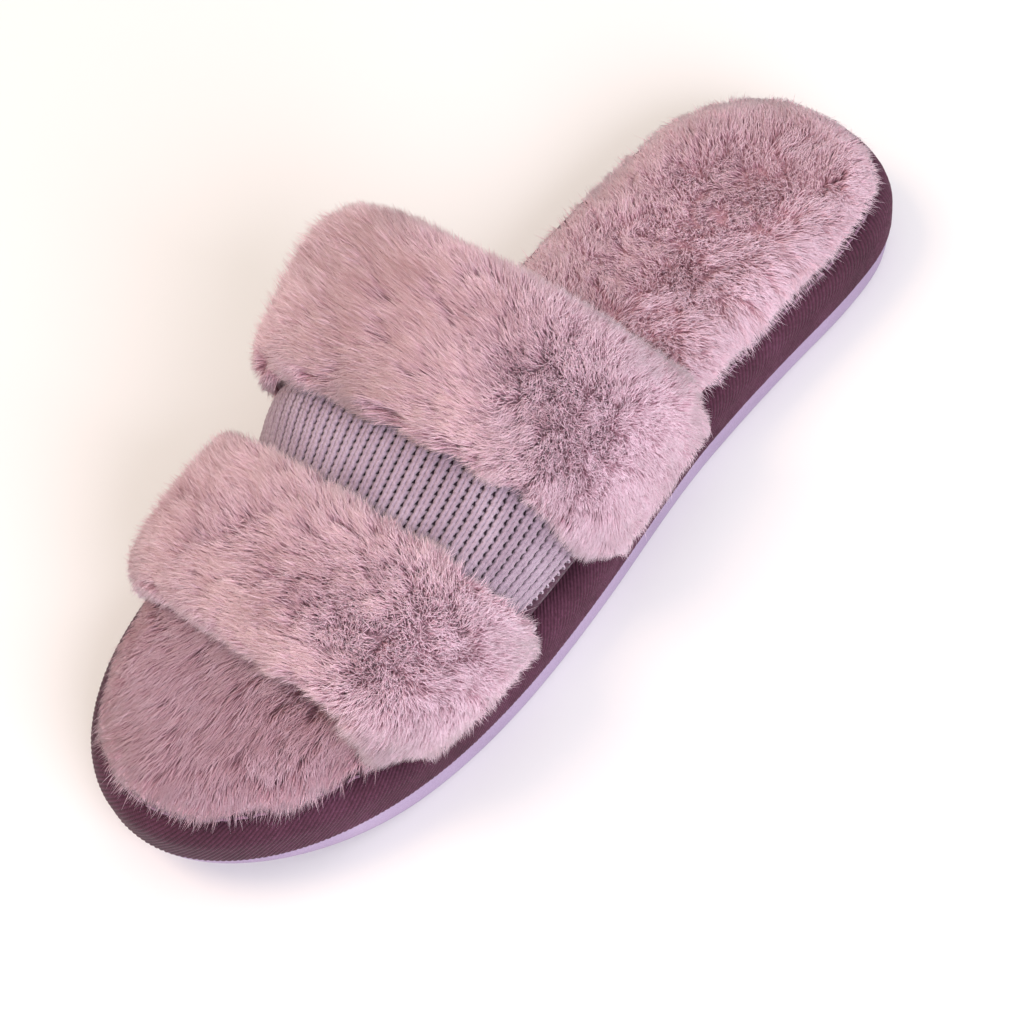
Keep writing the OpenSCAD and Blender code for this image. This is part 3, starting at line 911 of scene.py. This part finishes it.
def edge_distance():
    """Distance inside the outline on the grid, negative outside."""
    x, y = np.meshgrid(GRID_X, GRID_Y)
    outline = ring(np.linspace(0, 360, 1441)[:-1], 0.0, 0.0)[:, :2]
    nearest = np.full(x.shape, 1e9)
    for start in range(0, len(outline), 90):        # in blocks, to save memory
        block = outline[start:start + 90]
        apart = np.hypot(x[:, :, None] - block[:, 0], y[:, :, None] - block[:, 1])
        nearest = np.minimum(nearest, np.min(apart, 2))
    inside = (np.abs(x - centre_x(y)) < half_width(y)) & (np.abs(y) < HALF_LENGTH)
    return np.where(inside, nearest, -nearest)


EDGE = edge_distance()
smooth = EDGE.copy()
for _ in range(6):
    smooth = (np.roll(smooth, 1, 0) + np.roll(smooth, -1, 0) + np.roll(smooth, 1, 1)
              + np.roll(smooth, -1, 1) + 4 * smooth) / 8
EDGE_SLOPE_Y, EDGE_SLOPE_X = np.gradient(smooth)


def grid_at(grid, x, y):
    x = np.clip(x - GRID_X[0], 0, len(GRID_X) - 1.001)
    y = np.clip(y - GRID_Y[0], 0, len(GRID_Y) - 1.001)
    col, row = x.astype(int), y.astype(int)
    x, y = x - col, y - row
    return ((grid[row, col] * (1 - x) + grid[row, col + 1] * x) * (1 - y)
            + (grid[row + 1, col] * (1 - x) + grid[row + 1, col + 1] * x) * y)


# ---------------------------------------------------------------- band pile
def band_pile(name, fore_0, fore_1, count, body, seed):
    """Hairs rooted by run (length over the foot from its outer end) and fore."""
    random = np.random.default_rng(seed)
    count = int(count * DENSITY)
    centre, half = (fore_0 + fore_1) / 2, (fore_1 - fore_0) / 2
    is_rear = fore_0 < 0
    angles = np.linspace(0, 180, 361)
    runs = run_lengths(arch(centre, angles, 8.0))
    total = runs[-1]

    # roots; across is -1..1 over the band, rim hairs sit on the lips of the fabric
    run = random.uniform(0, total, count)
    across = random.uniform(-1, 1, count)
    across = np.sign(across) * np.abs(across) ** 0.9
    rim = random.random(count) < 0.15
    fore = np.where(rim, centre + np.sign(across) * (half + 1.6), centre + across * (half + 0.6))
    across = np.where(rim, np.sign(across), across)
    angle = np.interp(run, runs, angles)
    root = 4.4 + 1.2 * np.sqrt(np.maximum(0, 1 - np.abs(across) ** 3))
    root = np.where(rim, random.uniform(1.0, 4.6, count), root)

    # lean of the tips along the run and toward the edges of the band
    low = (1 - np.sin(angle * DEG)) ** 2
    lean_run = np.interp(run / total, [0, 0.06, 0.14, 0.28, 0.5, 0.8, 1.0],
                         [-3.6, -2.6, -0.4, 2.4, 3.4, 2.6, -0.8])
    by_knit = (across > 0) == is_rear       # the edge that meets the knit
    lean_fore = (np.where(by_knit, 3.0, 4.4) * np.sign(across) * np.abs(across) ** 1.3
                 * (1 - 0.3 * low))
    outer_end = np.exp(-((run - 15) / 15) ** 2)
    # the front band's pile hangs over the toe end of the footbed
    reach, spread = (3.2, 1.0) if is_rear else (6.0, 1.6)
    lean_fore += (np.where(by_knit, 1.6, reach) * np.sign(across) * np.abs(across) ** 1.5
                  * outer_end)
    lean_fore += 2.4 * soft_noise(run, 60 * np.sign(across), 9.0, seed + 14) * np.abs(across) ** 2
    lean_run += 2.4 * soft_noise(run, fore, 21, seed) + 1.5 * soft_noise(run, fore, 8, seed + 3)
    lean_fore += (2.6 * soft_noise(run, fore, 18, seed + 5)
                  + 1.7 * soft_noise(run, fore, 7.5, seed + 8))
    pull_run, pull_fore, big_length, small_length, tuft_tone = tuft_pull(
        random, run, fore, big=(4.6, 1), small=(1.9, 5))
    lean_run += pull_run
    lean_fore += pull_fore
    upright = (angle > 100) & (random.random(count) < 0.35)
    lean_run = np.where(upright, lean_run * 0.25, lean_run)
    stray = random.random(count) < 0.12
    lean_run += np.where(stray, random.normal(0, 1.8, count), 0)
    lean_fore += np.where(stray, random.normal(0, 1.8, count), 0)

    # rounded corners at both ends
    tip_run = run + lean_run
    end = np.clip(1 - np.minimum(tip_run, total - run - lean_run) / 11.0, 0, 1)
    limit = half + 5.2 + spread * reach * 0.6 * outer_end - 7.5 * end ** 2
    from_centre = fore + lean_fore - centre
    held = np.clip(from_centre, -limit, limit) + centre
    lean_fore = np.where(np.abs(from_centre) > limit,
                         held + random.normal(0, 0.5, count) - fore, lean_fore)

    # heights of the tips under a domed envelope
    width = np.clip((fore + lean_fore - centre) / (half + 5.0), -1, 1)
    envelope = 4.0 + (2.0 + 7.5 * np.sqrt(np.maximum(0, 1 - np.abs(width) ** 3)))
    length = (0.86 + 0.12 * small_length + 0.05 * (big_length - 0.5)
              + random.normal(0, 0.06, count) + 0.07 * soft_noise(run, fore, 9, seed + 11))
    flyaway = (random.random(count) < 0.09) | (upright & (random.random(count) < 0.3))
    length = np.where(flyaway, length + random.uniform(0.05, 0.34, count), length)
    tip = root + (envelope - root) * np.clip(length, 0.45, 1.4) + 0.6
    tip = np.where(rim, np.minimum(tip, root + random.uniform(-1.5, 2.5, count)), tip)
    tip = np.maximum(tip, 0.4)

    wave = random.normal(0, 0.35, (count, 2))
    hem = random.uniform(0.4, 1.5, count)
    lift = random.uniform(0.0, 1.1, count) ** 2
    points = []
    for k in range(HAIR_STEPS + 1):
        t = k / HAIR_STEPS
        bend, climb, bow = t ** 1.55, t ** 0.85, math.sin(math.pi * t)
        run_k = run + lean_run * bend + wave[:, 0] * bow
        fore_k = fore + lean_fore * bend + wave[:, 1] * bow
        out_k = root - 0.5 * (t == 0) + (tip - root) * climb
        angle_k = np.interp(run_k, runs, angles)
        loft = 1 - 0.24 * ease(95, 150, angle_k)
        point = arch(fore_k, angle_k, thinned(out_k, angle_k) * loft, BAND_DROP)
        # past an end the hair hangs down, but stays above the platform's round edge
        past = np.where(run_k < 0, run_k, np.where(run_k > total, total - run_k, 0.0))
        point[:, 2] += past * hem
        inside = np.clip(grid_at(EDGE, point[:, 0], point[:, 1]), 0.0, CORNER)
        fall = CORNER - np.sqrt(np.maximum(0, CORNER ** 2 - (CORNER - inside) ** 2))
        floor_z = WRAP_TOP + 0.35 + lift + toe_lift(point[:, 1]) - fall
        point[:, 2] = np.maximum(point[:, 2], floor_z)
        points.append(point)

    radius = hair_radius(random, flyaway)
    shade = (0.33 + tuft_tone + 0.16 * soft_noise(run, fore, 12, seed + 2)
             + random.normal(0, 0.19, count))
    # Painted highlight: hairs are lighter toward the rims of the band and at its outer end.
    shade += 0.30 * np.abs(across) ** 2.5 + 0.22 * np.exp(-(run / 15) ** 2)
    # Fly-away and stray hairs are lighter; the inner side is darker with painted shade.
    shade += np.where(flyaway | stray, 0.22, 0.0) - 0.10 * ease(100, 150, angle)
    # Painted light: hairs round the whorl are lighter, lifting the shade that falls there.
    shade += 0.20 * np.exp(-((run - 24) / 15) ** 2) * (1 - across ** 2)
    for piece in hairs(name, np.stack(points, 1), radius, np.clip(shade, 0.03, 0.97)):
        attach(piece, body)


band_pile("rear_band_pile", REAR_0, REAR_1, 78000, "rear_foot", seed=1)
band_pile("front_band_pile", FRONT_0, FRONT_1, 56000, "forefoot", seed=2)


# ---------------------------------------------------------------- footbed pile
def footbed_pile(count, seed):
    random = np.random.default_rng(seed)
    count = int(count * DENSITY)

    # roots, denser toward the edge and none in the bare patch
    tries = int(count * 3.2)
    x = random.uniform(-46, 46, tries)
    y = random.uniform(-HALF_LENGTH, HALF_LENGTH, tries)
    inside = grid_at(EDGE, x, y)
    density = (1 + np.clip(1 - (inside - 6) / 12, 0, 1)) / 2.0
    kept = (inside > 6.3) & (random.random(tries) < density)
    patch = 15.0 * ease(-50, -43, y) * (1 - ease(-16, -9, y))
    kept &= ~((x > 14) & (y > -50) & (y < -9) & (inside < patch))
    x, y, inside = x[kept][:count], y[kept][:count], inside[kept][:count]
    count = len(x)
    edge = np.clip(1 - (inside - 5) / 16.0, 0, 1)
    root = WRAP_TOP + toe_lift(y) + np.interp(inside, [5.9, 6.8, 9.0, 12.5, 17, 60],
                                              [1.9, 2.9, 3.9, 4.6, 4.8, 4.8])

    # lean outward at the edge and forward at the toe
    toe = 1 - ease(-75, -35, y)
    outward = (0.25 + 0.95 * edge) * (1 - 0.45 * toe)
    flow_x = -grid_at(EDGE_SLOPE_X, x, y) * outward
    flow_y = (-grid_at(EDGE_SLOPE_Y, x, y) * outward
              - toe * (1.25 - 0.5 * edge) + (1 - toe) * 0.12)
    flow_x += 0.50 * soft_noise(x, y, 21, seed) + 0.32 * soft_noise(x, y, 8, seed + 2)
    flow_y += 0.50 * soft_noise(x, y, 23, seed + 4) + 0.32 * soft_noise(x, y, 9, seed + 6)
    lean_x, lean_y = flow_x * 5.2, flow_y * 5.2
    lean = np.hypot(lean_x, lean_y)
    limit = 7.0 + 1.6 * toe
    scale = np.where(lean > limit, limit / np.maximum(lean, 1e-6), 1.0)
    # the shift of 500 picks other tufts than the bands use
    pull_x, pull_y, _, small_length, tuft_tone = tuft_pull(
        random, x + 500, y + 500, big=(4.8, 2), small=(2.0, 7))
    lean_x = lean_x * scale + pull_x
    lean_y = lean_y * scale + pull_y
    wisp = random.random(count) < 0.09
    lean_x = np.where(wisp, lean_x * 1.3 + random.normal(0, 1.6, count), lean_x)
    lean_y = np.where(wisp, lean_y * 1.3 + random.normal(0, 1.6, count), lean_y)

    # the inner heel side hangs a little over the edge, the rest stops on the wrap
    hanging = ease(-5, -15, x) * ease(0, 20, y)
    least = 3.2 - 2.6 * hanging + 1.3 * soft_noise(x, y, 5.0, 3) - np.where(wisp, 1.8, 0.0)
    tip_inside = grid_at(EDGE, x + lean_x, y + lean_y)
    short = tip_inside < least
    cut = np.clip((inside - least) / np.maximum(inside - tip_inside, 1e-3), 0.2, 1)
    cut = np.where(short, cut, 1.0) * np.where(short, random.uniform(0.8, 1.08, count), 1.0)
    lean_x, lean_y = lean_x * cut, lean_y * cut
    tip_y = y + lean_y
    tip_inside = grid_at(EDGE, x + lean_x, tip_y)

    # heights of the tips, low where the knit leaves a gap over the edge
    gap = ease(20, 30, x) * ease(-52, -44, y) * (1 - ease(-16, -8, y))
    length = (0.88 + 0.12 * small_length + 0.07 * soft_noise(x, y, 10, seed + 9)
              + random.normal(0, 0.06, count))
    tip = np.interp(tip_inside, [0.5, 2.0, 4.0, 6.0, 9.0, 13.0, 18.0],
                    [0.8, 1.4, 3.5, 5.7, 7.9, 9.0, 9.3])
    tip = tip + WRAP_TOP + toe_lift(tip_y) + hanging * 0.6
    tip = root + (tip - root) * np.clip(length, 0.5, 1.25) * (1 - 0.75 * gap)
    tip = np.maximum(tip, WRAP_TOP + 0.5 + toe_lift(tip_y))

    wave = random.normal(0, 0.35, (count, 2))
    points = []
    for k in range(HAIR_STEPS + 1):
        t = k / HAIR_STEPS
        bend, climb, bow = t ** 1.4, t ** 0.8, math.sin(math.pi * t)
        points.append(np.stack([
            x + lean_x * bend + wave[:, 0] * bow,
            y + lean_y * bend + wave[:, 1] * bow,
            root - 0.5 * (t == 0) + (tip - root) * climb + 1.1 * edge * (1 - gap) * bow], -1))

    radius = hair_radius(random, wisp)
    shade = (0.37 + tuft_tone + 0.16 * soft_noise(x, y, 13, seed + 2)
             + random.normal(0, 0.19, count))
    # Painted highlight: lighter toward the edge and away from the toe. Painted shade: darker at
    # the toe under the front band and in the gap under the knit.
    shade += (0.30 * edge ** 1.5 + 0.15) * (1 - toe) - 0.33 * toe - 0.25 * gap
    shade += np.where(wisp, 0.2, 0.0)
    for piece in hairs("footbed_pile", np.stack(points, 1), radius, np.clip(shade, 0.03, 0.97)):
        flexes(piece)


footbed_pile(94000, seed=4)

# ---------------------------------------------------------------- knit
KNIT_START, KNIT_END = 5.5, 159.0           # angles
WALE, COURSE = 2.75, 1.75                   # stitch width and row pitch
STITCH_POINTS = 14


def knit_out(fore):
    """Height of the knit: it sinks toward the bands."""
    across = (2 * fore - REAR_1 - FRONT_0) / (FRONT_0 - REAR_1 + 2 * TUCK)
    return -1.6 + 1.8 * (1 - across ** 2)


def knit_flexes(piece, cad_name):
    flexes(piece, cad_name, half=KNIT_ZONE, tilt=KNIT_TILT)


def knit_yarn():
    angles = np.linspace(KNIT_START, KNIT_END, 200)
    runs = run_lengths(arch((REAR_1 + FRONT_0) / 2, angles, 0.0))
    wales = int(round(runs[-1] / WALE))
    t = np.linspace(0, 2 * math.pi * wales, STITCH_POINTS * wales + 1)
    wale = 1.0 / wales
    share = (t / (2 * math.pi)) * wale + wale * (0.15 * np.sin(2 * t) - 0.085 * np.sin(t))
    angle = np.interp(np.clip(share, 0, 1), runs / runs[-1], angles)
    paths = []
    for j, row in enumerate(np.arange(REAR_1 - TUCK + 1.2, FRONT_0 + TUCK - 1.0, COURSE)):
        fore = row + 1.5 * np.cos(t) + 0.06 * soft_noise(t * 3, np.full_like(t, j * 5.3), 2.0)
        z = -0.42 * np.cos(2 * t) + 0.05 * soft_noise(t * 3, np.full_like(t, j * 3.1), 2.0)
        paths.append(arch(fore, angle, knit_out(fore) - 1.15 + z))
    knit_flexes(tubes("knit_yarn_courses", np.array(paths), 0.57, YARN), "knit_panel")


def knit_backing():
    fore = np.linspace(REAR_1 - TUCK, FRONT_0 + TUCK, 16)
    out = knit_out(fore)
    section = np.concatenate([fore, fore[::-1]]), np.concatenate([out - 2.35, out - 3.15])
    angles = np.linspace(KNIT_START + 1.5, KNIT_END - 1.5, 70)
    knit_flexes(shell("knit_backing_sheet", lambda angle: section, angles, ELASTIC),
                "knit_backing")


def knit_overlock():
    """A coil of 22 turns along each end of the knit."""
    share = np.linspace(0, 1, 420)
    fore = REAR_1 - TUCK + 1 + share * (FRONT_0 - REAR_1 + 2 * TUCK - 2)
    turn = share * 2 * math.pi * 22
    paths = [arch(fore, angle + sign * 1.4 * np.cos(turn),
                  knit_out(fore) - 1.6 + 1.25 * np.sin(turn))
             for angle, sign in ((KNIT_START - 0.6, 1), (KNIT_END + 0.6, -1))]
    knit_flexes(tubes("knit_edge_thread", np.array(paths), 0.24, OVERLOCK),
                "knit_edge_overlock")


knit_yarn()
knit_backing()
knit_overlock()

# ---------------------------------------------------------------- floor and world, in metres
floor_mesh = bpy.data.meshes.new("floor")
floor_mesh.from_pydata([(-3, -3, 0), (3, -3, 0), (3, 3, 0), (-3, 3, 0)], [], [(0, 1, 2, 3)])
floor = bpy.data.objects.new("floor", floor_mesh)
bpy.context.scene.collection.objects.link(floor)
floor.location.z = -0.0002
paper, paper_tree, paper_shader = new_material("floor_paper")
set_inputs(paper_tree, paper_shader, {"Base Color": (0.80, 0.80, 0.80, 1), "Roughness": 0.9})
floor_mesh.materials.append(paper)

scene = bpy.context.scene
world = bpy.data.worlds.new("studio")
scene.world = world
world.use_nodes = True
background = world.node_tree.nodes["Background"]
background.inputs["Color"].default_value = (1.0, 0.962, 0.95, 1)
background.inputs["Strength"].default_value = 0.62

# ---------------------------------------------------------------- camera
AZIMUTH, ELEVATION, ROLL = 52.899 * DEG, 57.134 * DEG, -11.583 * DEG
CAMERA_DISTANCE = 0.5136

to_camera = np.array([math.cos(ELEVATION) * math.sin(AZIMUTH),
                      -math.cos(ELEVATION) * math.cos(AZIMUTH), math.sin(ELEVATION)])
level_right = unit(np.cross(-to_camera, [0, 0, 1.0]))
level_up = np.cross(level_right, -to_camera)
view_right = level_right * math.cos(ROLL) + level_up * math.sin(ROLL)
view_up = -level_right * math.sin(ROLL) + level_up * math.cos(ROLL)

lens = bpy.data.cameras.new("camera")
camera = bpy.data.objects.new("camera", lens)
scene.collection.objects.link(camera)
lens.sensor_width = 36.0
lens.lens = 74.1434766
lens.shift_x = -0.0084765625
lens.shift_y = -0.02876953125
lens.clip_start, lens.clip_end = 0.01, 20
columns = (view_right, view_up, to_camera, to_camera * CAMERA_DISTANCE)
camera.matrix_world = Matrix([[float(column[row]) for column in columns] for row in range(3)]
                             + [[0.0, 0.0, 0.0, 1.0]])
scene.camera = camera


# ---------------------------------------------------------------- lights
def area_light(name, place, target_z, size, power, color):
    """Disk light aimed at a point over the origin."""
    light = bpy.data.lights.new(name, "AREA")
    light.shape = "DISK"
    light.size = size
    light.energy = power
    light.color = color
    lamp = bpy.data.objects.new(name, light)
    scene.collection.objects.link(lamp)
    lamp.location = tuple(place)
    lamp.rotation_mode = "QUATERNION"
    aim = Vector((0, 0, target_z)) - Vector(tuple(place))
    lamp.rotation_quaternion = aim.to_track_quat("-Z", "Y")


area_light("key", unit(-view_right * 0.75 + view_up * 0.55 + to_camera * 0.75) * 1.3,
           target_z=0.03, size=0.6, power=6.5, color=(1.0, 0.72, 0.50))
area_light("fill", unit(view_right * 0.45 - view_up * 0.30 + to_camera * 1.0) * 1.4,
           target_z=0.03, size=0.9, power=17, color=(0.93, 0.89, 1.0))
area_light("top", np.array([0.0, 0.1, 1.0]) * 1.5,
           target_z=0.02, size=1.2, power=4, color=(1, 1, 1))

scene.view_settings.view_transform = "Standard"
scene.view_settings.look = "None"
scene.view_settings.exposure = 0.0
